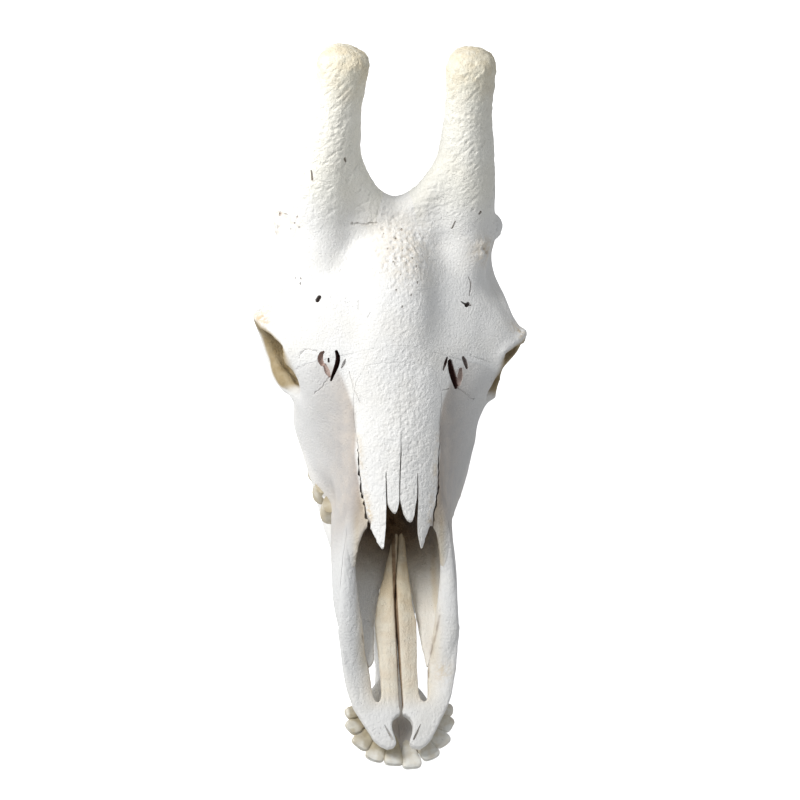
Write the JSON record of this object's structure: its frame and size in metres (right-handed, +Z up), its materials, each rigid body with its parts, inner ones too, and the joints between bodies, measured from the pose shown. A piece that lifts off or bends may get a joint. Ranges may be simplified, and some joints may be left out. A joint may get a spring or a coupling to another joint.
{
  "type": "giraffe skull",
  "caption": "Life-size giraffe skull with two upright ossicones, forked nasal bones and a long slender lower jaw that it rests on.",
  "frame": {"origin": "centre of the part's box, on the floor that the lower jaw rests on", "axes": "+Z up, the snout points to -Y and the back of the skull to +Y, +X to the animal's left side"},
  "size_m": [0.2478, 0.5534, 0.4213],
  "materials": {
    "bone": "dry bleached bone, matte, fine pores",
    "horn_bone": "dry rough bone, matte, wrinkled",
    "teeth": "ivory enamel with brown stains, satin"
  },
  "bodies": {
    "root": {"cranium": "bone", "cheekbone_left": "bone", "cheekbone_right": "bone", "upper_jaw": "bone", "nasal_left": "bone", "nasal_right": "bone", "premaxilla_left": "bone", "premaxilla_right": "bone", "mandible_left": "bone", "mandible_right": "bone", "ossicone_left": "horn_bone", "ossicone_right": "horn_bone"}
  },
  "joints": []
}
